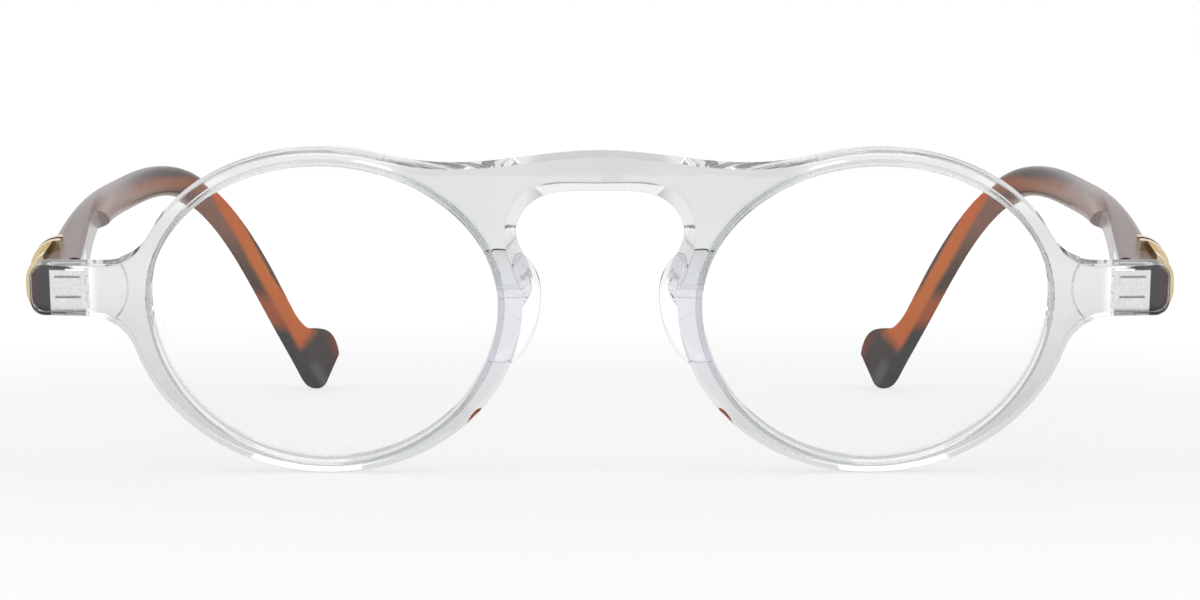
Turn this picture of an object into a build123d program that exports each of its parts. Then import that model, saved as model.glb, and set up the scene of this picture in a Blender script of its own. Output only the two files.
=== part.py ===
from build123d import *
import math
import os

os.makedirs("parts", exist_ok=True)

# Oval eyeglasses, in millimetres. The pieces are drawn in the plane of the front:
# x to the right, y up the front, z forward towards the viewer, with the middle of
# the bridge at x = 0 and the widest line of the lenses at y = 0. At the end they
# are leaned and set down on a table, with +Z up and the wearer looking along -Y.

# Driving sizes of the front
eye_width = 43.2            # visible lens opening, side to side
eye_above = 17.5            # opening above its widest line
eye_below = 20.55           # opening below its widest line
bridge_gap = 25.2           # nose side of one opening to the nose side of the other
front_thickness = 4.2
front_curve_radius = 700.0  # the front is bent round the face
rim_top = 1.65
rim_bottom = 1.3
rim_side_upper = 2.4
rim_side_lower = 3.0
overrun = 1.0               # how far a cutting shape runs past what it cuts

# Bridge and nose opening
bridge_top = 18.8           # above the widest line, at the middle
bridge_dip = 17.2
bridge_dip_out = 18.0
bridge_shoulder = 18.2
bridge_shoulder_out = 26.5
nose_top_front = 15.7
nose_top_back = 13.6
nose_half_front = 11.75
nose_half_back = 10.4
nose_wide_line = 8.6        # where the nose opening is widest
nose_waist_line = 5.4       # where it draws in above the pads
nose_waist_front = 11.0
nose_waist_back = 9.45
nose_neck_front = 9.5       # half of its width where it meets the rims
nose_neck_back = 8.8
nose_foot_half = 8.0
nose_shoulder_share = 0.84
nose_shoulder_drop = 1.7

# End pieces, which carry the hinges
end_piece_out = 70.8        # outer side of an end piece from the middle
end_piece_height = 6.45
end_piece_centre = 1.15
end_piece_corner = 1.7
end_fillet_top = 6.0
end_fillet_bottom = 6.0
seat_depth = 6.1            # flat milled behind the end piece, from the bridge's face
seat_cutter_radius = 5.8
seat_cutter_out = 64.5

# Lenses
lens_groove_depth = 0.7
lens_thickness = 1.8
lens_curve_radius = 150.0
lens_clearance = 0.03
lens_crown = 0.05           # top of the lens behind the face of the front

# Nose pads
pad_root = 12.6             # middle of the pad's round from the middle
pad_reach = 5.3             # how far it stands towards the nose
pad_centre = 1.1            # where it stands out most
pad_above = 5.6
pad_below = 9.7
pad_mid_depth = 3.4
pad_half_depth = 5.2
pad_front = 1.0

# Hinges
hinge_out = 65.0            # pin from the middle
hinge_back = 1.55           # pin behind the milled seat
hinge_centre = 0.7          # middle of the barrel above the widest line
barrel_radius = 1.3
barrel_height = 5.4
knuckle_count = 5
knuckle_gap = 0.05
leaf_thickness = 0.9
front_leaf_width = 4.4
front_leaf_height = 5.4
front_leaf_out = 66.2
leaf_tooth_width = 3.2
leaf_tooth_height = 1.1
leaf_tooth_depth = 0.8
leaf_tooth_spacing = 2.6
temple_leaf_length = 9.5
temple_leaf_height = 3.6
leaf_shoulder_length = 1.6
screw_radius = 0.58
screw_clearance = 0.03
screw_head_radius = 0.95
screw_head_height = 0.55
screw_slot_width = 0.28
screw_slot_depth = 0.25
butt_clearance = 0.1
notch_clearance = 0.25

# Temples: an arm from the butt to the ear bend, then a tip that falls and tucks in
arm_length = 92.0
arm_bow_out = 68.5          # middle line of an arm from the middle, at its widest
arm_fall = 9.95             # the arm's fall from the butt to the ear bend
tip_back = 35.5
tip_fall = 41.3
tip_tuck = 14.5
temple_centre = 0.7         # middle of the butt above the widest line
butt_out = 67.6             # middle of the butt from the middle of the front
butt_thickness = 7.1
butt_height = 6.5
arm_thickness = 4.3
arm_height = 4.4
tip_thickness = 3.5
tip_height = 4.1
paddle_height = 9.6
temple_round_share = 0.42
flat_length = 34.0          # milled flat on the inner side
flat_butt_out = 64.95       # the flat from the middle, at the butt
flat_slant = 3.2            # how far the flat runs outwards over its length
flat_cutter_radius = 3.0
flat_end_lean = 64.0        # degrees that the flat's end leans back towards its lower edge

# Places on a temple's middle line: (back, out, fall) of the arm, then of the tip
arm_place_shares = ((0.32, 1.006, -0.055), (0.6, 1, 0.215), (0.88, 0.96, 0.63), (1, 0.902, 1))
tip_place_shares = ((0.12, 0.1, 0.07), (0.27, 0.235, 0.19), (0.6, 0.57, 0.53), (1, 1, 1))
# How the temple changes along its line: (line, from butt to arm), (line, from arm to tip)
butt_taper_shares = ((0.07, 0.33), (0.17, 0.85), (0.27, 1), (0.42, 1))
tip_taper_shares = ((0.6, 0.5), (0.7, 1), (0.86, 0.9))
# The paddle at the end: (line, thickness, height, rise)
paddle_shares = ((0.94, 1, 0.4, 0.4), (0.968, 1, 0.93, 0.93), (0.986, 1, 1, 1), (1, 1, 0.8, 1))

# Core wires
wire_radius = 0.7
wire_clearance = 0.03
# Places on a wire: (line, out, up), off the temple's line by shares of its own sizes
wire_place_shares = (
    (0, 0.16, 0),
    (0.12, 0.18, 0),
    (0.26, 0.16, 0),
    (0.42, 0.06, 0.03),
    (0.55, -0.06, 0.08),
    (0.68, -0.14, 0.14),
    (0.82, -0.15, 0.15),
    (0.93, -0.15, 0.15),
)

# Trims
trim_inset = 0.6            # how deep it lies in the acetate
trim_proud = 0.85           # how far the plate stands out of it
ridge_proud = 1.3
trim_start = 1.0            # behind the butt
trim_length = 8.5
ridge_length = 1.3          # two ridges at the back end
ridge_spacing = 2.1
trim_cover = 2.8            # how far the plate wraps in from the outer side
trim_band_cover = 4.1
trim_pin_radius = 0.5
trim_pin_length = 1.3
trim_pin_spacing = 4.5

eye_half = eye_width / 2
eye_out = bridge_gap / 2 + eye_half
rim_half_upper = eye_half + rim_side_upper
rim_half_lower = eye_half + rim_side_lower
knuckle_pitch = barrel_height / knuckle_count
butt_start = seat_depth + butt_clearance
trim_out = butt_out + butt_thickness / 2 + ridge_proud
trim_band = ridge_spacing + ridge_length


def curve_drop(out, radius):
    """How far a round surface of that radius falls back at a distance from its top."""
    return radius - math.sqrt(radius * radius - out * out)


def half_oval(half, height, start):
    arc = EllipticalCenterArc((0, 0), half, height, start, arc_size=180)
    return make_face(Curve() + [arc, Line(arc @ 1, arc @ 0)])


def oval(half, above, below):
    """An oval of two half ellipses that meet on its widest line."""
    upper = EllipticalCenterArc((0, 0), half, above, 0, arc_size=180)
    lower = EllipticalCenterArc((0, 0), half, below, 180, arc_size=180)
    return make_face(Curve() + [upper, lower])


def both_sides(shape):
    return shape + mirror(shape, about=Plane.YZ)


def rim_outline():
    upper = half_oval(rim_half_upper, eye_above + rim_top, 0)
    lower = half_oval(rim_half_lower, eye_below + rim_bottom, 180)
    return Pos(eye_out, 0) * (upper + lower)


def bridge_outline():
    top = Spline(
        (-bridge_shoulder_out, bridge_shoulder),
        (-bridge_dip_out, bridge_dip),
        (0, bridge_top),
        (bridge_dip_out, bridge_dip),
        (bridge_shoulder_out, bridge_shoulder),
    )
    sides = Polyline(top @ 1, (bridge_shoulder_out, 0), (-bridge_shoulder_out, 0), top @ 0)
    return make_face(Curve() + [top, sides])


def nose_outline(top, half, waist, neck):
    """The nose opening: a saddle above, drawn in to the rims below."""
    below = -eye_below - rim_bottom - overrun
    shoulder = nose_shoulder_share * half
    saddle = Spline(
        (-neck, 0),
        (-waist, nose_waist_line),
        (-half, nose_wide_line),
        (-shoulder, top - nose_shoulder_drop),
        (0, top),
        (shoulder, top - nose_shoulder_drop),
        (half, nose_wide_line),
        (waist, nose_waist_line),
        (neck, 0),
    )
    sides = Polyline(saddle @ 1, (nose_foot_half, below), (-nose_foot_half, below), saddle @ 0)
    return make_face(Curve() + [saddle, sides])


def end_piece_outline():
    start = eye_out + eye_half
    length = end_piece_out - start
    block = Pos(start + length / 2, end_piece_centre) * Rectangle(length, end_piece_height)
    outer = block.vertices().sort_by(Axis.X)[-2:]
    return fillet(outer, end_piece_corner)


def curved_slab(front, back):
    """A slab bent like the front, between two depths behind its face."""
    reach = end_piece_out + 2 * overrun
    height = 4 * eye_below
    outer = front_curve_radius - front
    inner = front_curve_radius - back
    outer_drop = front + curve_drop(reach, outer)
    inner_drop = back + curve_drop(reach, inner)
    face_line = ThreePointArc((-reach, -outer_drop), (0, -front), (reach, -outer_drop))
    back_line = ThreePointArc((reach, -inner_drop), (0, -back), (-reach, -inner_drop))
    ends = [Line(face_line @ 1, back_line @ 0), Line(back_line @ 1, face_line @ 0)]
    section = make_face(Curve() + [face_line, back_line] + ends)
    return extrude(Plane.XZ * section, amount=height / 2, both=True)


def make_lens(grow):
    """A curved lens with its edge in the groove; grow makes the groove's cutter."""
    half = eye_half + lens_groove_depth + grow
    above = eye_above + lens_groove_depth + grow
    below = eye_below + lens_groove_depth + grow
    blank = extrude(oval(half, above, below), amount=front_thickness * 2, both=True)
    front_ball = Pos(0, 0, -lens_crown - lens_curve_radius) * Sphere(lens_curve_radius + grow)
    back_radius = lens_curve_radius - lens_thickness - grow
    back_ball = Pos(0, 0, -lens_crown - lens_curve_radius) * Sphere(back_radius)
    lens = (blank & front_ball) - back_ball
    lens = lens.solids().sort_by(Axis.Z)[-1]
    turn = math.degrees(math.asin(eye_out / front_curve_radius))
    return Pos(eye_out, 0, -curve_drop(eye_out, front_curve_radius)) * Rot(0, turn, 0) * lens


def seat_cutter():
    """The flat milled behind an end piece, with the round end that its cutter leaves."""
    block_reach = end_piece_out + overrun - seat_cutter_out
    block = Pos(seat_cutter_out + block_reach / 2, end_piece_centre)
    flat = block * Rectangle(block_reach, 2 * seat_cutter_radius)
    round_end = Pos(seat_cutter_out, end_piece_centre) * Circle(seat_cutter_radius)
    cut = extrude(flat + round_end, amount=-front_thickness * 2)
    return Pos(0, 0, -seat_depth) * cut


def join_edges(shape, height):
    """Upright edges where an end piece runs into its rim at a given height."""
    upright = [e for e in shape.edges() if abs((e @ 1 - e @ 0).Z) > front_thickness]
    at_height = [e for e in upright if abs(e.center().Y - height) < end_piece_corner / 4]
    inner = [e for e in at_height if e.center().X < end_piece_out - 2 * end_piece_corner]
    return ShapeList(e for e in inner if e.center().X > eye_out)


def make_front_body():
    depth = front_thickness + curve_drop(end_piece_out, front_curve_radius) + overrun
    rim = extrude(rim_outline(), amount=-depth)
    end_piece = extrude(end_piece_outline(), amount=-depth)
    side = rim + end_piece
    side = fillet(join_edges(side, end_piece_centre + end_piece_height / 2), end_fillet_top)
    side = fillet(join_edges(side, end_piece_centre - end_piece_height / 2), end_fillet_bottom)
    blank = both_sides(side) + extrude(bridge_outline(), amount=-depth)
    blank = blank & curved_slab(0, front_thickness)
    face = nose_outline(nose_top_front, nose_half_front, nose_waist_front, nose_neck_front)
    back = nose_outline(nose_top_back, nose_half_back, nose_waist_back, nose_neck_back)
    back = Pos(0, 0, -front_thickness) * back
    blank -= loft([face, back], ruled=True)
    blank -= extrude(back, amount=-overrun)
    opening = Pos(eye_out, 0) * oval(eye_half, eye_above, eye_below)
    blank -= both_sides(extrude(opening, amount=-depth))
    blank -= both_sides(seat_cutter())
    blank -= both_sides(make_lens(lens_clearance))
    return blank


def make_nose_pad(front):
    """A clear block glued to the rim beside the nose, round towards the nose."""
    pad = Part()
    for height, side in ((pad_above, Align.MIN), (pad_below, Align.MAX)):
        ball = scale(Sphere(pad_reach), by=(1, height / pad_reach, pad_half_depth / pad_reach))
        half = (Align.CENTER, side, Align.CENTER)
        pad += ball & Box(4 * pad_reach, 2 * height, 4 * pad_half_depth, align=half)
    pad = Pos(pad_root, pad_centre, -pad_mid_depth) * pad
    room = (Align.CENTER, Align.CENTER, Align.MIN)
    wide = 4 * pad_reach
    pad -= Pos(pad_root, pad_centre, -pad_front) * Box(wide, 4 * pad_below, wide, align=room)
    opening = Pos(eye_out, 0) * oval(eye_half, eye_above, eye_below)
    pad -= extrude(opening, amount=-2 * (pad_mid_depth + pad_half_depth))
    pad -= front
    return pad.solids().sort_by(SortBy.VOLUME)[-1]


def pin_place():
    """The hinge pin's middle, with its length along the local Z."""
    return Pos(hinge_out, hinge_centre, -seat_depth - hinge_back) * Rot(-90, 0, 0)


def flat_out(back):
    """Distance of the temple's inner flat from the middle, at a depth behind the seat."""
    return flat_butt_out + flat_slant * (back - butt_clearance) / flat_length


def knuckles(which):
    """Slices of the hinge barrel, counted from its lower end."""
    barrel = Part()
    for i in which:
        place = Pos(0, 0, (i - (knuckle_count - 1) / 2) * knuckle_pitch)
        barrel += pin_place() * place * Cylinder(barrel_radius, knuckle_pitch - knuckle_gap)
    return barrel


def knuckle_necks(which, left, right, near, far):
    """Blocks as high as the knuckles that join them to their leaf."""
    necks = Part()
    for i in which:
        height = hinge_centre + (i - (knuckle_count - 1) / 2) * knuckle_pitch
        place = Pos((left + right) / 2, height, -(near + far) / 2)
        necks += place * Box(right - left, knuckle_pitch - knuckle_gap, far - near)
    return necks


def pin_bore(radius):
    return pin_place() * Cylinder(radius, barrel_height + 2 * overrun)


def screw_head(grow):
    place = pin_place() * Pos(0, 0, barrel_height / 2 - screw_head_height - grow)
    low = (Align.CENTER, Align.CENTER, Align.MIN)
    return place * Cylinder(screw_head_radius + grow, screw_head_height + 2 * grow, align=low)


def make_front_leaf():
    """The plate let into the end piece, with its teeth and two knuckles."""
    plate_place = Pos(front_leaf_out, hinge_centre, -seat_depth)
    low = (Align.CENTER, Align.CENTER, Align.MIN)
    leaf = plate_place * Box(front_leaf_width, front_leaf_height, leaf_thickness, align=low)
    for side in (-1, 1):
        tooth_place = plate_place * Pos(0, side * leaf_tooth_spacing / 2, leaf_thickness)
        leaf += tooth_place * Box(leaf_tooth_width, leaf_tooth_height, leaf_tooth_depth, align=low)
    which = range(1, knuckle_count, 2)
    left = hinge_out - barrel_radius + knuckle_gap
    right = hinge_out + barrel_radius - knuckle_gap
    leaf += knuckle_necks(which, left, right, seat_depth, seat_depth + hinge_back)
    leaf += knuckles(which)
    return leaf - pin_bore(screw_radius + screw_clearance)


def make_temple_leaf():
    """The plate let into the temple's inner flat, with its three knuckles."""
    pin_back = seat_depth + hinge_back
    start = pin_back + barrel_radius + notch_clearance

    def plate(end, height):
        near = flat_out(start - seat_depth)
        far = flat_out(end - seat_depth)
        inner = [(near, -start), (far, -end)]
        outer = [(far + leaf_thickness, -end), (near + leaf_thickness, -start)]
        outline = make_face(Polyline(*inner, *outer, close=True))
        return Pos(0, hinge_centre, 0) * extrude(Plane.XZ * outline, amount=height / 2, both=True)

    leaf = plate(start + temple_leaf_length, temple_leaf_height)
    leaf += plate(start + leaf_shoulder_length, barrel_height - knuckle_gap)
    which = range(0, knuckle_count, 2)
    left = flat_out(start - seat_depth)
    leaf += knuckle_necks(which, left, left + leaf_thickness, pin_back, start)
    leaf += knuckles(which)
    return leaf - pin_bore(screw_radius + screw_clearance) - screw_head(screw_clearance)


def make_screw():
    screw = pin_place() * Cylinder(screw_radius, barrel_height) + screw_head(0)
    slot = Box(2 * barrel_radius, screw_slot_width, 2 * screw_slot_depth)
    return screw - pin_place() * Pos(0, 0, barrel_height / 2) * slot


def temple_path():
    """The temple's middle line, from the butt to the end of the tip."""
    places = [Vector(butt_out, temple_centre, -butt_start)]
    for back_share, out_share, fall_share in arm_place_shares:
        back = seat_depth + hinge_back + back_share * arm_length
        places.append(Vector(out_share * arm_bow_out, temple_centre - fall_share * arm_fall, -back))
    bend = places[-1]
    for back_share, tuck_share, fall_share in tip_place_shares:
        places.append(bend - Vector(tuck_share * tip_tuck, fall_share * tip_fall, back_share * tip_back))
    end_run = (places[-1] - places[-2]).normalized()
    return Spline(*places, tangents=(Vector(0, 0, -1), end_run))


def temple_sections():
    """Rows of (share of the line, thickness, height, rise of the middle)."""

    def between(first, second, share):
        return first + (second - first) * share

    rows = [(0, butt_thickness, butt_height, 0)]
    for line_share, change in butt_taper_shares:
        thickness = between(butt_thickness, arm_thickness, change)
        rows.append((line_share, thickness, between(butt_height, arm_height, change), 0))
    for line_share, change in tip_taper_shares:
        thickness = between(arm_thickness, tip_thickness, change)
        rows.append((line_share, thickness, between(arm_height, tip_height, change), 0))
    flare = (paddle_height - tip_height) / 2
    for line_share, thick_share, high_share, rise_share in paddle_shares:
        height = between(tip_height, paddle_height, high_share)
        rows.append((line_share, thick_share * tip_thickness, height, rise_share * flare))
    return rows


def section_plane(path, line_share):
    """Across the temple's line, with x level and outwards and y down."""
    along = path % line_share
    return Plane(path @ line_share, x_dir=along.cross(Vector(0, 1, 0)), z_dir=along)


def temple_blank(grow):
    """The temple's outer form; grow makes the forms that the trim is cut from."""
    path = temple_path()
    slices = []
    for line_share, thickness, height, rise in temple_sections():
        plane = section_plane(path, line_share)
        wide = thickness + 2 * grow
        high = height + 2 * grow
        corner = temple_round_share * min(wide, high)
        slices.append(plane * Pos(0, -rise) * RectangleRounded(wide, high, corner))
    return loft(slices)


def inner_flat_cutter():
    """The slanted flat on the inner side, with the round end that its cutter leaves."""
    lead = overrun + butt_height * math.tan(math.radians(flat_end_lean))
    start = seat_depth - lead
    end = seat_depth + flat_length
    far = flat_out(flat_length)
    inner = flat_out(0) - butt_thickness
    corners = [(flat_out(-lead), -start), (far, -end), (inner, -end), (inner, -start)]
    outline = make_face(Polyline(*corners, close=True))
    outline += Pos(far - flat_cutter_radius, -end) * Circle(flat_cutter_radius)
    reach = butt_height / math.cos(math.radians(flat_end_lean))
    forward = Vector(-flat_slant, 0, flat_length).normalized()
    upward = math.cos(math.radians(flat_end_lean))
    along = Vector(0, upward, 0) + forward * math.sin(math.radians(flat_end_lean))
    cutter = extrude(Plane.XZ * outline, amount=reach, dir=along)
    cutter += extrude(Plane.XZ * outline, amount=reach, dir=-along)
    return Pos(0, temple_centre, 0) * cutter


def barrel_notch():
    """Room in the temple for the hinge barrel and its necks."""
    radius = barrel_radius + notch_clearance
    notch = pin_place() * Cylinder(radius, 2 * butt_height)
    low = (Align.MAX, Align.CENTER, Align.MIN)
    middle = Pos(hinge_out, hinge_centre, -seat_depth - hinge_back)
    notch += middle * Pos(radius, 0, 0) * Box(butt_thickness, 2 * butt_height, 2 * hinge_back, align=low)
    return notch + middle * Pos(0, 0, -radius) * Box(butt_thickness, 2 * butt_height, radius, align=low)


def make_wire(radius):
    path = temple_path()
    places = []
    for line_share, out_share, up_share in wire_place_shares:
        shift = (out_share * tip_thickness, -up_share * tip_height)
        places.append(section_plane(path, line_share).from_local_coords(shift))
    line = Spline(*places)
    return sweep(Plane(line @ 0, z_dir=line % 0) * Circle(radius), path=line)


def trim_pins():
    """Two pins on the inner face of a trim, which hold it in the temple."""
    middle = butt_start + trim_start + trim_length / 2
    pins = Part()
    for side in (-1, 1):
        out = trim_out - ridge_proud - trim_inset / 2
        place = Pos(out, temple_centre, -middle + side * trim_pin_spacing / 2)
        length = trim_pin_length + trim_inset / 2
        far = (Align.CENTER, Align.CENTER, Align.MAX)
        pins += place * Rot(0, 90, 0) * Cylinder(trim_pin_radius, length, align=far)
    return pins


def make_trim():
    """A plate let into the outer side of the butt, with two ridges over top and bottom."""
    tall = butt_height + 4 * ridge_proud
    room = (Align.MAX, Align.CENTER, Align.MAX)

    def block(wide, before, length):
        place = Pos(trim_out, temple_centre, -butt_start - trim_start - before)
        return place * Box(wide, tall, length, align=room)

    back = trim_length - trim_band
    plate = block(trim_cover, 0, trim_length) + block(trim_band_cover, back, trim_band)
    ridges = block(trim_band_cover, back, ridge_length)
    ridges += block(trim_band_cover, back + ridge_spacing, ridge_length)
    trim = (temple_blank(trim_proud) & plate) + (temple_blank(ridge_proud) & ridges)
    return trim - temple_blank(-trim_inset) + trim_pins()


def stand_lean(front, temple):
    """The lean at which the rims and the tips touch the table together."""
    lean = 0
    for _ in range(5):
        front_box = (Rot(90 + lean, 0, 0) * front).bounding_box()
        temple_box = (Rot(90 + lean, 0, 0) * temple).bounding_box()
        reach = temple_box.max.Y - front_box.max.Y
        lean += math.degrees(math.atan((front_box.min.Z - temple_box.min.Z) / reach))
    return lean


front = make_front_body()
front_leaf = make_front_leaf()
front -= both_sides(front_leaf)
temple_leaf = make_temple_leaf()
blank = temple_blank(0)
trim = make_trim()
temple = blank - inner_flat_cutter() - barrel_notch() - temple_leaf - trim
temple -= make_wire(wire_radius + wire_clearance)

side_pieces = {
    "lens": make_lens(0),
    "nose_pad": make_nose_pad(front),
    "front_hinge_leaf": front_leaf,
    "temple_hinge_leaf": temple_leaf,
    "hinge_screw": make_screw(),
    "temple": temple,
    "temple_core_wire": make_wire(wire_radius),
    "temple_trim": trim,
}
pieces = {"front": front}
for name, piece in side_pieces.items():
    pieces[name + "_left"] = piece
    pieces[name + "_right"] = mirror(piece, about=Plane.YZ)

# Lean everything on the table and set it down in the middle
lean = stand_lean(front, temple)
leaned = {name: Rot(90 + lean, 0, 0) * piece.solid() for name, piece in pieces.items()}
whole = Compound(list(leaned.values())).bounding_box()
stand = Pos(0, -(whole.min.Y + whole.max.Y) / 2, -whole.min.Z)
for name, piece in leaned.items():
    export_step(stand * piece, "parts/" + name + ".step")

pin = stand * Rot(90 + lean, 0, 0) * pin_place()
print("lean", lean)
print("whole", whole.size)
print("pin at", pin.position, "along", Plane(pin).z_dir)
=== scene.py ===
import math

import bmesh
import bpy
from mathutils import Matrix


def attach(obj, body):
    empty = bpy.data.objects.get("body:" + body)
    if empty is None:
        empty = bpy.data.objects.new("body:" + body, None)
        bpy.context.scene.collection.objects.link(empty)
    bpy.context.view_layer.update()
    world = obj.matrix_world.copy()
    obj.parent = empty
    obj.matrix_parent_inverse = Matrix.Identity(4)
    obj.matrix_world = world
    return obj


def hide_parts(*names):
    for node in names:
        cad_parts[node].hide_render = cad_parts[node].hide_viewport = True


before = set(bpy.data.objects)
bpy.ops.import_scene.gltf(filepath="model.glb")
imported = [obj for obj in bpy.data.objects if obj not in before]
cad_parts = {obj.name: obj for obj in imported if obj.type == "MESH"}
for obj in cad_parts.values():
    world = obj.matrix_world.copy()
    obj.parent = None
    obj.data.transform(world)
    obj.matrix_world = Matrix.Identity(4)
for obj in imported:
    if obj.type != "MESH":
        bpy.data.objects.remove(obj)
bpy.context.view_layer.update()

# Table and light
# A plain pale table top that runs back to a white wall, as in a maker's catalogue.
# Two large soft lamps hang over it, one to each side, and a third stands behind the glasses.
scene = bpy.context.scene
scene.view_settings.view_transform = "Standard"


def add_node(tree, kind, **settings):
    made = tree.nodes.new(kind)
    for key, value in settings.items():
        setattr(made, key, value)
    return made


def background_rays(tree):
    """1 for rays that should meet the plain white background."""
    path = add_node(tree, "ShaderNodeLightPath")
    total = None
    for ray in ("Is Camera Ray", "Is Glossy Ray", "Is Transmission Ray"):
        if total is None:
            total = path.outputs[ray]
            continue
        more = add_node(tree, "ShaderNodeMath", operation="MAXIMUM")
        tree.links.new(total, more.inputs[0])
        tree.links.new(path.outputs[ray], more.inputs[1])
        total = more.outputs[0]
    return total


world = bpy.data.worlds.new("white_room")
world.use_nodes = True
scene.world = world
tree = world.node_tree
tree.nodes.clear()
soft_fill = add_node(tree, "ShaderNodeBackground")
soft_fill.inputs["Color"].default_value = (1.0, 1.0, 1.0, 1.0)
soft_fill.inputs["Strength"].default_value = 0.45
white_wall = add_node(tree, "ShaderNodeBackground")
white_wall.inputs["Strength"].default_value = 1.0
# Dark cloths hang behind the camera, one high and one low, for metal and crystal edges to show
toward = add_node(tree, "ShaderNodeTexCoord")
cloth_path = add_node(tree, "ShaderNodeLightPath")
walls = None
for direction, start, full, dark, ray in (
    ((0.0, -0.86, 0.5), 0.6, 0.8, 0.1, "Is Glossy Ray"),
    ((0.0, -0.98, -0.17), 0.3, 1.0, 0.6, "Is Transmission Ray"),
):
    facing = add_node(tree, "ShaderNodeVectorMath", operation="DOT_PRODUCT")
    facing.inputs[1].default_value = direction
    tree.links.new(toward.outputs["Generated"], facing.inputs[0])
    cloth = add_node(tree, "ShaderNodeMapRange", interpolation_type="SMOOTHSTEP")
    cloth.inputs["From Min"].default_value = start
    cloth.inputs["From Max"].default_value = full
    cloth.inputs["To Min"].default_value = 0.0
    cloth.inputs["To Max"].default_value = 1.0 - dark
    tree.links.new(facing.outputs["Value"], cloth.inputs["Value"])
    hidden = add_node(tree, "ShaderNodeMath", operation="MULTIPLY")
    tree.links.new(cloth.outputs[0], hidden.inputs[0])
    tree.links.new(cloth_path.outputs[ray], hidden.inputs[1])
    left = add_node(tree, "ShaderNodeMath", operation="SUBTRACT")
    left.inputs[0].default_value = 1.0
    tree.links.new(hidden.outputs[0], left.inputs[1])
    if walls is None:
        walls = left.outputs[0]
        continue
    both = add_node(tree, "ShaderNodeMath", operation="MULTIPLY")
    tree.links.new(walls, both.inputs[0])
    tree.links.new(left.outputs[0], both.inputs[1])
    walls = both.outputs[0]
tree.links.new(walls, white_wall.inputs["Color"])
choose = add_node(tree, "ShaderNodeMixShader")
tree.links.new(background_rays(tree), choose.inputs[0])
tree.links.new(soft_fill.outputs[0], choose.inputs[1])
tree.links.new(white_wall.outputs[0], choose.inputs[2])
tree.links.new(choose.outputs[0], add_node(tree, "ShaderNodeOutputWorld").inputs["Surface"])

shape = bmesh.new()
bmesh.ops.create_grid(shape, x_segments=1, y_segments=1, size=3.0)
table_mesh = bpy.data.meshes.new("table_top")
shape.to_mesh(table_mesh)
shape.free()
table_top = bpy.data.objects.new("table_top", table_mesh)
scene.collection.objects.link(table_top)
paper = bpy.data.materials.new("white_paper")
paper.use_nodes = True
tree = paper.node_tree
tree.nodes.clear()
diffuse = add_node(tree, "ShaderNodeBsdfDiffuse")
diffuse.inputs["Color"].default_value = (0.8, 0.8, 0.8, 1.0)
shaded = add_node(tree, "ShaderNodeBsdfDiffuse")
shaded.inputs["Color"].default_value = (0.3, 0.3, 0.3, 1.0)
spot = add_node(tree, "ShaderNodeTexCoord")
reach = add_node(tree, "ShaderNodeVectorMath", operation="LENGTH")
tree.links.new(spot.outputs["Object"], reach.inputs[0])
fade = add_node(tree, "ShaderNodeMapRange")
fade.inputs["From Min"].default_value = 0.1
fade.inputs["From Max"].default_value = 0.5
fade.inputs["To Min"].default_value = 0.72
fade.inputs["To Max"].default_value = 0.95
tree.links.new(reach.outputs["Value"], fade.inputs["Value"])
glow = add_node(tree, "ShaderNodeEmission")
tree.links.new(fade.outputs[0], glow.inputs["Color"])
lit = add_node(tree, "ShaderNodeAddShader")
tree.links.new(shaded.outputs[0], lit.inputs[0])
tree.links.new(glow.outputs[0], lit.inputs[1])
choose = add_node(tree, "ShaderNodeMixShader")
tree.links.new(background_rays(tree), choose.inputs[0])
tree.links.new(diffuse.outputs[0], choose.inputs[1])
tree.links.new(lit.outputs[0], choose.inputs[2])
tree.links.new(choose.outputs[0], add_node(tree, "ShaderNodeOutputMaterial").inputs["Surface"])
table_mesh.materials.append(paper)

for name, place, turn, size, power in (
    ("lamp_left", (-0.55, -0.35, 0.75), (30, -32, 0), 0.5, 1.2),
    ("lamp_right", (0.55, -0.35, 0.75), (30, 32, 0), 0.5, 1.2),
    ("lamp_back", (0.0, 0.6, 0.7), (-42, 0, 0), 0.6, 1.0),
):
    lamp_data = bpy.data.lights.new(name, "AREA")
    lamp_data.size = size
    lamp_data.energy = power
    lamp = bpy.data.objects.new(name, lamp_data)
    lamp.location = place
    lamp.rotation_euler = [math.radians(angle) for angle in turn]
    scene.collection.objects.link(lamp)

camera_data = bpy.data.cameras.new("catalogue_view")
camera_data.lens = 97.68
camera_data.sensor_width = 36.0
camera_data.clip_start = 0.01
camera = bpy.data.objects.new("catalogue_view", camera_data)
camera.location = (0.0, -0.47217, 0.04208)
camera.rotation_euler = (math.radians(90.0 - 2.878), 0.0, 0.0)
scene.collection.objects.link(camera)
scene.camera = camera

# Front
# One sheet of crystal acetate, cut to two oval rims with a bridge and two end pieces, then
# tumbled until its faces are clear and its edges softly rounded.


def merged_copy(node, name, sharp_angle):
    """A closed copy of a CAD node, smooth but for its sharp edges."""
    shape = bmesh.new()
    shape.from_mesh(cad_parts[node].data)
    bmesh.ops.remove_doubles(shape, verts=shape.verts, dist=2e-6)
    mesh = bpy.data.meshes.new(name)
    shape.to_mesh(mesh)
    shape.free()
    for extra in [a.name for a in mesh.attributes if a.name == "custom_normal"]:
        mesh.attributes.remove(mesh.attributes[extra])
    mesh.materials.clear()
    mesh.shade_smooth()
    mesh.set_sharp_from_angle(angle=math.radians(sharp_angle))
    piece = bpy.data.objects.new(name, mesh)
    scene.collection.objects.link(piece)
    return piece


def surface_material(name, colour, roughness):
    """A material with a Principled surface: (material, tree, surface)."""
    made = bpy.data.materials.new(name)
    made.use_nodes = True
    surface = made.node_tree.nodes["Principled BSDF"]
    surface.inputs["Base Color"].default_value = colour
    surface.inputs["Roughness"].default_value = roughness
    return made, made.node_tree, surface


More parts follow.
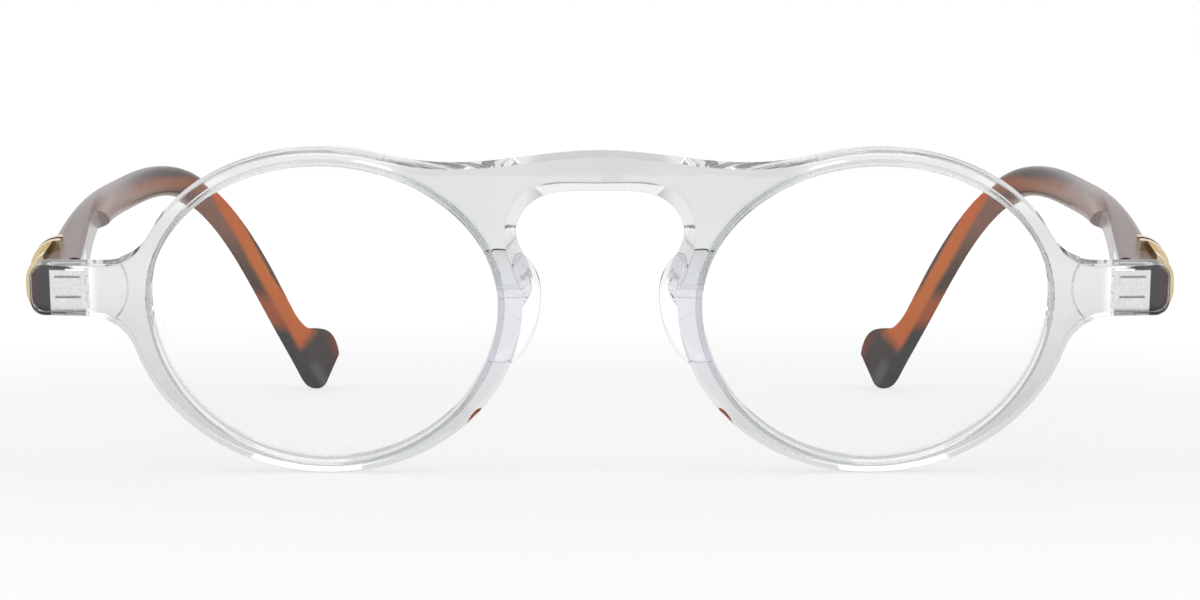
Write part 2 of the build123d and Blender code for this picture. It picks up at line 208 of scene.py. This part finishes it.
def grain(tree, scale, detail, stretch=(1.0, 1.0, 1.0)):
    """Noise on the object's own coordinates."""
    place = add_node(tree, "ShaderNodeTexCoord")
    turn = add_node(tree, "ShaderNodeMapping")
    turn.inputs["Scale"].default_value = stretch
    tree.links.new(place.outputs["Object"], turn.inputs["Vector"])
    noise = add_node(tree, "ShaderNodeTexNoise")
    noise.inputs["Scale"].default_value = scale
    noise.inputs["Detail"].default_value = detail
    tree.links.new(turn.outputs[0], noise.inputs["Vector"])
    return noise.outputs["Fac"]


def ramp(tree, value, stops):
    """A colour ramp through (place, colour) stops."""
    made = add_node(tree, "ShaderNodeValToRGB")
    band = made.color_ramp
    while len(band.elements) < len(stops):
        band.elements.new(0.5)
    for element, (place, colour) in zip(band.elements, stops):
        element.position = place
        element.color = (*colour, 1.0)
    tree.links.new(value, made.inputs[0])
    return made.outputs[0]


def soft_bump(tree, surface, height, strength, distance, over=None):
    """Fine unevenness of a polished face, over another normal where one is given."""
    bump = add_node(tree, "ShaderNodeBump")
    bump.inputs["Strength"].default_value = strength
    bump.inputs["Distance"].default_value = distance
    tree.links.new(height, bump.inputs["Height"])
    if over is not None:
        tree.links.new(over, bump.inputs["Normal"])
    tree.links.new(bump.outputs[0], surface.inputs["Normal"])


def value_sum(tree, parts, shift):
    """Adds up values by their weights."""
    total = None
    for output, weight in parts:
        scaled = add_node(tree, "ShaderNodeMath", operation="MULTIPLY_ADD")
        tree.links.new(output, scaled.inputs[0])
        scaled.inputs[1].default_value = weight
        if total is None:
            scaled.inputs[2].default_value = shift
        else:
            tree.links.new(total, scaled.inputs[2])
        total = scaled.outputs[0]
    return total


def smooth_step(tree, value, low, high):
    """0 to 1 from low to high, or 1 to 0 where low is the higher."""
    made = add_node(tree, "ShaderNodeMapRange", interpolation_type="SMOOTHSTEP")
    if low > high:
        made.inputs["To Min"].default_value = 1.0
        made.inputs["To Max"].default_value = 0.0
        low, high = high, low
    made.inputs["From Min"].default_value = low
    made.inputs["From Max"].default_value = high
    tree.links.new(value, made.inputs["Value"])
    return made.outputs[0]


def product(tree, first, second):
    made = add_node(tree, "ShaderNodeMath", operation="MULTIPLY")
    tree.links.new(first, made.inputs[0])
    tree.links.new(second, made.inputs[1])
    return made.outputs[0]


def zone(tree, *steps):
    """1 where every step is full: each is a value, where it starts and where it is full."""
    share = None
    for value, start, full in steps:
        step = smooth_step(tree, value, start, full)
        share = step if share is None else product(tree, share, step)
    return share


def number_mix(tree, share, first, second):
    made = add_node(tree, "ShaderNodeMapRange")
    made.inputs["To Min"].default_value = first
    made.inputs["To Max"].default_value = second
    tree.links.new(share, made.inputs["Value"])
    return made.outputs[0]


def colour_mix(tree, share, first, second):
    """Mixes two colours, each a value or an output."""
    made = add_node(tree, "ShaderNodeMix", data_type="RGBA")
    for index, source in ((6, first), (7, second)):
        if isinstance(source, tuple):
            made.inputs[index].default_value = (*source, 1.0)
        else:
            tree.links.new(source, made.inputs[index])
    tree.links.new(share, made.inputs[0])
    return made.outputs[2]


def axes(tree, output):
    """The three parts of a place or a normal."""
    split = add_node(tree, "ShaderNodeSeparateXYZ")
    tree.links.new(output, split.inputs[0])
    return split.outputs["X"], split.outputs["Y"], split.outputs["Z"]


def outwards(tree, across):
    """The same on both sides of the middle."""
    made = add_node(tree, "ShaderNodeMath", operation="ABSOLUTE")
    tree.links.new(across, made.inputs[0])
    return made.outputs[0]


# The sine and cosine of the front's lean, and how far its widest line and its face lie from the origin
lean_sine = 0.2173
lean_cosine = 0.9761
widest_line_rise = 0.03619
face_depth = 0.06522
# By the pads the light goes nearly straight through, with little mirror on it
bending_by_pads = 1.04
mirror_of_faces = 0.5
mirror_by_pads = 0.05
# Colours of painted shade on the clear acetate: its faces at the rims' crowns, the saddle's bevel, its
# crease, the rims' undersides and edges that turn away
crown_painted_shade = (0.83, 0.84, 0.84)
saddle_painted_shade = (0.32, 0.32, 0.335)
crease_painted_shade = (0.01, 0.01, 0.02)
underside_painted_shade = (0.70, 0.70, 0.71)
turned_away_painted_shade = (0.42, 0.40, 0.41)
edge_round = 0.0003


def clear_material(name, face_low, face_high, edge, by_nose, bending):
    """Polished clear acetate: the painted shade of its faces from low to high, its edges, its rim by the
    nose, its bending.
    """
    made, tree, surface = surface_material(name, (*edge, 1.0), 0.02)
    surface.inputs["Transmission Weight"].default_value = 1.0
    surface.inputs["IOR"].default_value = bending
    surface.inputs["Specular IOR Level"].default_value = mirror_of_faces
    place = add_node(tree, "ShaderNodeTexCoord")
    over, depth, rise = axes(tree, place.outputs["Normal"])
    flatness = outwards(tree, value_sum(tree, ((depth, lean_cosine), (rise, lean_sine)), 0.0))
    upward = value_sum(tree, ((depth, -lean_sine), (rise, lean_cosine)), 0.0)
    over, depth, rise = axes(tree, place.outputs["Object"])
    out = outwards(tree, over)
    upright = value_sum(tree, ((depth, -lean_sine), (rise, lean_cosine)), -widest_line_rise)
    behind = value_sum(tree, ((depth, lean_cosine), (rise, lean_sine)), face_depth)
    # The broad faces are painted grey as shade, varying at random, and the painted shade is lighter at
    # the crown of each rim
    face_shade = ramp(tree, grain(tree, 90.0, 2.0), ((0.3, face_low), (0.7, face_high)))
    crown = zone(tree, (upright, 0.009, 0.013), (out, 0.022, 0.027))
    face_shade = colour_mix(tree, crown, face_shade, crown_painted_shade)
    by_pads = zone(tree, (upright, 0.0022, 0.0019), (out, 0.0175, 0.0150))
    face_shade = colour_mix(tree, by_pads, face_shade, by_nose)
    broad = zone(tree, (flatness, 0.9, 0.97), (out, 0.0635, 0.0622))
    tone = colour_mix(tree, broad, edge, face_shade)
    if bending != bending_by_pads:
        tree.links.new(number_mix(tree, by_pads, bending, bending_by_pads), surface.inputs["IOR"])
    mirror = number_mix(tree, by_pads, mirror_of_faces, mirror_by_pads)
    tree.links.new(mirror, surface.inputs["Specular IOR Level"])
    # The saddle's bevel is painted grey as shade, with a dark line of painted shade where it meets the
    # face
    saddle = zone(
        tree,
        (flatness, 0.25, 0.35),
        (flatness, 0.7, 0.6),
        (upright, 0.0105, 0.0115),
        (out, 0.0095, 0.0070),
    )
    tone = colour_mix(tree, saddle, tone, saddle_painted_shade)
    crease = zone(tree, (behind, 0.0008, 0.0005), (out, 0.0085, 0.0060))
    tone = colour_mix(tree, product(tree, saddle, crease), tone, crease_painted_shade)
    # The rims' undersides are painted grey as shade
    under = zone(tree, (upward, -0.35, -0.7), (upright, -0.009, -0.013))
    tone = colour_mix(tree, under, tone, underside_painted_shade)
    # Edges are rounded by the tumbling, and painted darker as shade where they turn away
    rounded = add_node(tree, "ShaderNodeBevel", samples=4)
    rounded.inputs["Radius"].default_value = edge_round
    turning = add_node(tree, "ShaderNodeLayerWeight")
    turning.inputs["Blend"].default_value = 0.5
    tree.links.new(rounded.outputs[0], turning.inputs["Normal"])
    grazing = smooth_step(tree, turning.outputs["Facing"], 0.72, 0.95)
    tree.links.new(colour_mix(tree, grazing, tone, turned_away_painted_shade), surface.inputs["Base Color"])
    soft_bump(tree, surface, grain(tree, 140.0, 1.0), 0.04, 0.0002, rounded.outputs[0])
    return made


crystal = clear_material(
    "crystal_acetate",
    face_low=(0.67, 0.685, 0.685),
    face_high=(0.72, 0.735, 0.735),
    edge=(0.92, 0.925, 0.93),
    by_nose=(0.79, 0.785, 0.81),
    bending=1.49,
)
front = merged_copy("front", "crystal_front", sharp_angle=28)
front.data.materials.append(crystal)
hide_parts("front")
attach(front, "front_assembly")

# Nose pads
# Two blocks of the same clear sheet, glued to the rims beside the nose and polished in,
# so that no metal shows there.
pad_crystal = clear_material(
    "pad_acetate",
    face_low=(0.91, 0.91, 0.94),
    face_high=(0.94, 0.94, 0.96),
    edge=(0.93, 0.93, 0.95),
    by_nose=(0.91, 0.91, 0.94),
    bending=bending_by_pads,
)
for side in ("left", "right"):
    pad = merged_copy("nose_pad_" + side, "clear_pad_" + side, sharp_angle=40)
    pad.data.materials.append(pad_crystal)
    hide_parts("nose_pad_" + side)
    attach(pad, "front_assembly")

# Lenses
# Thin curved demo lenses of clear plastic with a hard coat, cut to the rim's shape and
# snapped into the groove that runs round inside each rim.
clear_lens, tree, surface = surface_material("coated_lens", (0.985, 0.99, 0.988, 1.0), 0.0)
surface.inputs["Transmission Weight"].default_value = 1.0
surface.inputs["IOR"].default_value = 1.5
surface.inputs["Specular IOR Level"].default_value = 0.06
coat_tone = grain(tree, 12.0, 1.0)
tree.links.new(
    ramp(tree, coat_tone, ((0.3, (0.985, 0.99, 0.988)), (0.7, (0.99, 0.99, 0.992)))),
    surface.inputs["Base Color"],
)
for side in ("left", "right"):
    lens = merged_copy("lens_" + side, "demo_lens_" + side, sharp_angle=30)
    lens.data.materials.append(clear_lens)
    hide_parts("lens_" + side)
    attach(lens, "front_assembly")

# Hinges
# Five-barrel hinges of nickel silver: two knuckles on a toothed leaf that is let into the
# end piece, three on a leaf let into the temple, and a slotted screw down through them.
nickel, tree, surface = surface_material("nickel_silver", (0.9, 0.89, 0.87, 1.0), 0.22)
surface.inputs["Metallic"].default_value = 1.0
brushed = grain(tree, 2500.0, 3.0, (1.0, 0.1, 1.0))
tree.links.new(
    ramp(tree, brushed, ((0.3, (0.86, 0.85, 0.83)), (0.7, (0.97, 0.96, 0.94)))),
    surface.inputs["Base Color"],
)
soft_bump(tree, surface, brushed, 0.15, 0.00003)


def swell(piece, amount):
    """Grows a piece a hair, so that it sits in what holds it with no gap."""
    for vertex in piece.data.vertices:
        vertex.co += vertex.normal * amount


for side in ("left", "right"):
    for node, body in (
        ("front_hinge_leaf_", "front_assembly"),
        ("temple_hinge_leaf_", side + "_temple"),
        ("hinge_screw_", "front_assembly"),
    ):
        leaf = merged_copy(node + side, "nickel_" + node + side, sharp_angle=30)
        if node != "hinge_screw_":
            swell(leaf, 0.00001)
        leaf.data.materials.append(nickel)
        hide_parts(node + side)
        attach(leaf, body)

# Temples
# Arms cut from brown mottled acetate, bent warm round the ear and drawn out to a paddle,
# with a pale milled flat inside the hinge end. The colour goes from smoke to amber to dark.

mottled, tree, surface = surface_material("mottled_brown_acetate", (0.3, 0.2, 0.15, 1.0), 0.22)
surface.inputs["Coat Roughness"].default_value = 0.05
place = add_node(tree, "ShaderNodeTexCoord")
over, back, up = axes(tree, place.outputs["Object"])
out = outwards(tree, over)
# Along runs from 0 at the hinge to 1 at the end of the paddle
along = value_sum(tree, ((back, 5.73), (up, -8.65)), 0.583)
cloud = grain(tree, 60.0, 3.0)
wander = value_sum(tree, ((cloud, 0.0022),), -0.0011)
shifted = value_sum(tree, ((along, 1.0), (wander, 14.0)), 0.0)
# In the arm, height runs over its own falling middle line
lower = add_node(tree, "ShaderNodeMath", operation="POWER")
tree.links.new(outwards(tree, value_sum(tree, ((back, 1.0),), -0.012)), lower.inputs[0])
lower.inputs[1].default_value = 2.0
height = value_sum(tree, ((up, 200.0), (lower.outputs[0], 372.0), (wander, 150.0)), 0.5 - 6.84)
smoke = ramp(tree, height, (
    (0.1, (0.345, 0.245, 0.215)),
    (0.55, (0.375, 0.255, 0.225)),
    (0.72, (0.345, 0.24, 0.21)),
    (1.0, (0.27, 0.21, 0.20)),
))
# A pink band rises a little along the smoke, and ends with it
band_height = value_sum(tree, ((height, 1.0), (along, -1.0)), 0.0)
band = zone(tree, (band_height, 0.55, 0.68), (band_height, 0.84, 0.74), (along, 0.20, 0.12))
smoke = colour_mix(tree, band, smoke, (0.50, 0.33, 0.26))
brown = ramp(tree, height, (
    (0.08, (0.40, 0.11, 0.03)),
    (0.22, (0.17, 0.09, 0.06)),
    (0.42, (0.17, 0.085, 0.05)),
    (0.56, (0.41, 0.12, 0.035)),
    (0.78, (0.36, 0.11, 0.035)),
    (0.95, (0.09, 0.07, 0.07)),
))
arm = colour_mix(tree, smooth_step(tree, shifted, 0.13, 0.33), smoke, brown)
spots = grain(tree, 330.0, 1.0)
spotted = zone(tree, (spots, 0.6, 0.72), (along, 0.2, 0.26), (height, 0.45, 0.3))
arm = colour_mix(tree, spotted, arm, (0.60, 0.22, 0.11))
# In the run behind the ear, across goes from the outer to the inner side of the middle line
across = value_sum(tree, ((out, -1.0), (up, 0.5529), (back, 0.1237), (wander, 0.5)), 0.03753)
outer_side = ramp(tree, shifted, (
    (0.40, (0.34, 0.14, 0.075)),
    (0.55, (0.31, 0.13, 0.08)),
    (0.635, (0.15, 0.06, 0.025)),
    (0.71, (0.06, 0.03, 0.015)),
    (0.755, (0.55, 0.10, 0.0)),
    (0.80, (0.49, 0.08, 0.0)),
    (0.83, (0.03, 0.02, 0.015)),
    (1.0, (0.012, 0.011, 0.01)),
))
inner_side = ramp(tree, shifted, (
    (0.42, (0.56, 0.11, 0.0)),
    (0.50, (0.79, 0.14, 0.0)),
    (0.66, (0.85, 0.19, 0.0)),
    (0.862, (0.78, 0.15, 0.0)),
    (0.888, (0.04, 0.025, 0.02)),
    (1.0, (0.035, 0.022, 0.02)),
))
run = colour_mix(tree, smooth_step(tree, across, -0.0008, 0.0002), outer_side, inner_side)
# The run's inner edge is painted dark brown as shade
inner_edge_painted_shade = zone(tree, (across, 0.0017, 0.0022), (along, 0.5, 0.56), (along, 0.78, 0.70))
run = colour_mix(tree, inner_edge_painted_shade, run, (0.14, 0.06, 0.045))
paddle_band = zone(tree, (across, -0.0005, 0.0004), (across, 0.0024, 0.001), (along, 0.9, 0.94))
run = colour_mix(tree, paddle_band, run, (0.105, 0.10, 0.095))
paddle_edge = zone(tree, (across, 0.0044, 0.0056), (along, 0.88, 0.93))
run = colour_mix(tree, paddle_edge, run, (0.20, 0.03, 0.005))
in_run = smooth_step(tree, along, 0.40, 0.48)
body_colour = colour_mix(tree, in_run, arm, run)
for socket, in_arm, behind_ear in (("Specular IOR Level", 0.1, 0.0), ("Coat Weight", 0.02, 0.0)):
    surface.inputs[socket].default_value = in_arm
    tree.links.new(number_mix(tree, in_run, in_arm, behind_ear), surface.inputs[socket])
# The milled flat is pale, its end wall painted a dark red-brown, the acetate's colour in painted shade,
# and the butt against the front painted dark as shade
flat_gap = value_sum(tree, ((out, 1.0), (back, -0.09187), (up, -0.020456)), -0.070505)
side_turn, back_turn, up_turn = axes(tree, place.outputs["Normal"])
on_flat = zone(
    tree,
    (outwards(tree, flat_gap), 0.00008, 0.00003),
    (back, -0.014, -0.0145),
    (outwards(tree, side_turn), 0.93, 0.98),
)
body_colour = colour_mix(tree, on_flat, body_colour, (0.55, 0.535, 0.53))
# The flat's end wall is painted dark red-brown: the acetate's colour in painted shade
shaded_end_wall = zone(
    tree,
    (back_turn, -0.10, -0.16),
    (back, -0.045, -0.042),
    (back, 0.0, -0.01),
    (flat_gap, 0.0004, 0.0),
)
body_colour = colour_mix(tree, shaded_end_wall, body_colour, (0.14, 0.02, 0.005))
# The butt against the front is painted nearly black as shade, with a lighter stripe and a red-brown rim
butt_painted_shade = ramp(tree, value_sum(tree, ((out, 250.0),), -16.5), (
    (0.0, (0.06, 0.058, 0.062)),
    (0.35, (0.065, 0.06, 0.062)),
    (0.52, (0.14, 0.11, 0.11)),
    (0.68, (0.05, 0.05, 0.055)),
    (0.96, (0.07, 0.065, 0.07)),
    (1.0, (0.13, 0.06, 0.045)),
))
butt = zone(tree, (back_turn, -0.3, -0.5), (back, -0.058, -0.06))
body_colour = colour_mix(tree, butt, body_colour, butt_painted_shade)
tree.links.new(body_colour, surface.inputs["Base Color"])
soft_bump(tree, surface, grain(tree, 160.0, 1.0), 0.05, 0.0002)

for side in ("left", "right"):
    temple = merged_copy("temple_" + side, "mottled_temple_" + side, sharp_angle=35)
    temple.data.materials.append(mottled)
    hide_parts("temple_" + side)
    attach(temple, side + "_temple")

# Core wires
# A brass wire is shot into each warm temple, to stiffen it and to hold the ear bend.
brass_wire, tree, surface = surface_material("brass_wire", (0.75, 0.42, 0.18, 1.0), 0.3)
surface.inputs["Metallic"].default_value = 1.0
drawn = grain(tree, 900.0, 2.0, (1.0, 0.15, 0.15))
bright = ramp(tree, drawn, ((0.3, (0.68, 0.36, 0.15)), (0.7, (0.82, 0.48, 0.22))))
place = add_node(tree, "ShaderNodeTexCoord")
over, back, up = axes(tree, place.outputs["Object"])
# The wire's front end, at the butt, is painted dark as shade, like the butt round it
wire_end_shade = smooth_step(tree, back, -0.0635, -0.0640)
tree.links.new(colour_mix(tree, wire_end_shade, bright, (0.04, 0.035, 0.035)), surface.inputs["Base Color"])
for side in ("left", "right"):
    wire = merged_copy("temple_core_wire_" + side, "brass_wire_" + side, sharp_angle=40)
    wire.data.materials.append(brass_wire)
    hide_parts("temple_core_wire_" + side)
    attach(wire, side + "_temple")

# Trims
# A plate of pale gold metal wraps the outer front corner of each temple, with two raised
# ridges at its back end, and two pins under it that are pressed into the acetate.
pale_gold, tree, surface = surface_material("pale_gold", (0.9, 0.78, 0.5, 1.0), 0.08)
surface.inputs["Metallic"].default_value = 1.0
polish = grain(tree, 700.0, 2.0)
tree.links.new(
    ramp(tree, polish, ((0.3, (0.66, 0.53, 0.31)), (0.7, (0.74, 0.62, 0.40)))),
    surface.inputs["Base Color"],
)
soft_bump(tree, surface, polish, 0.05, 0.00005)
for side in ("left", "right"):
    trim = merged_copy("temple_trim_" + side, "gold_trim_" + side, sharp_angle=30)
    trim.data.materials.append(pale_gold)
    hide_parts("temple_trim_" + side)
    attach(trim, side + "_temple")
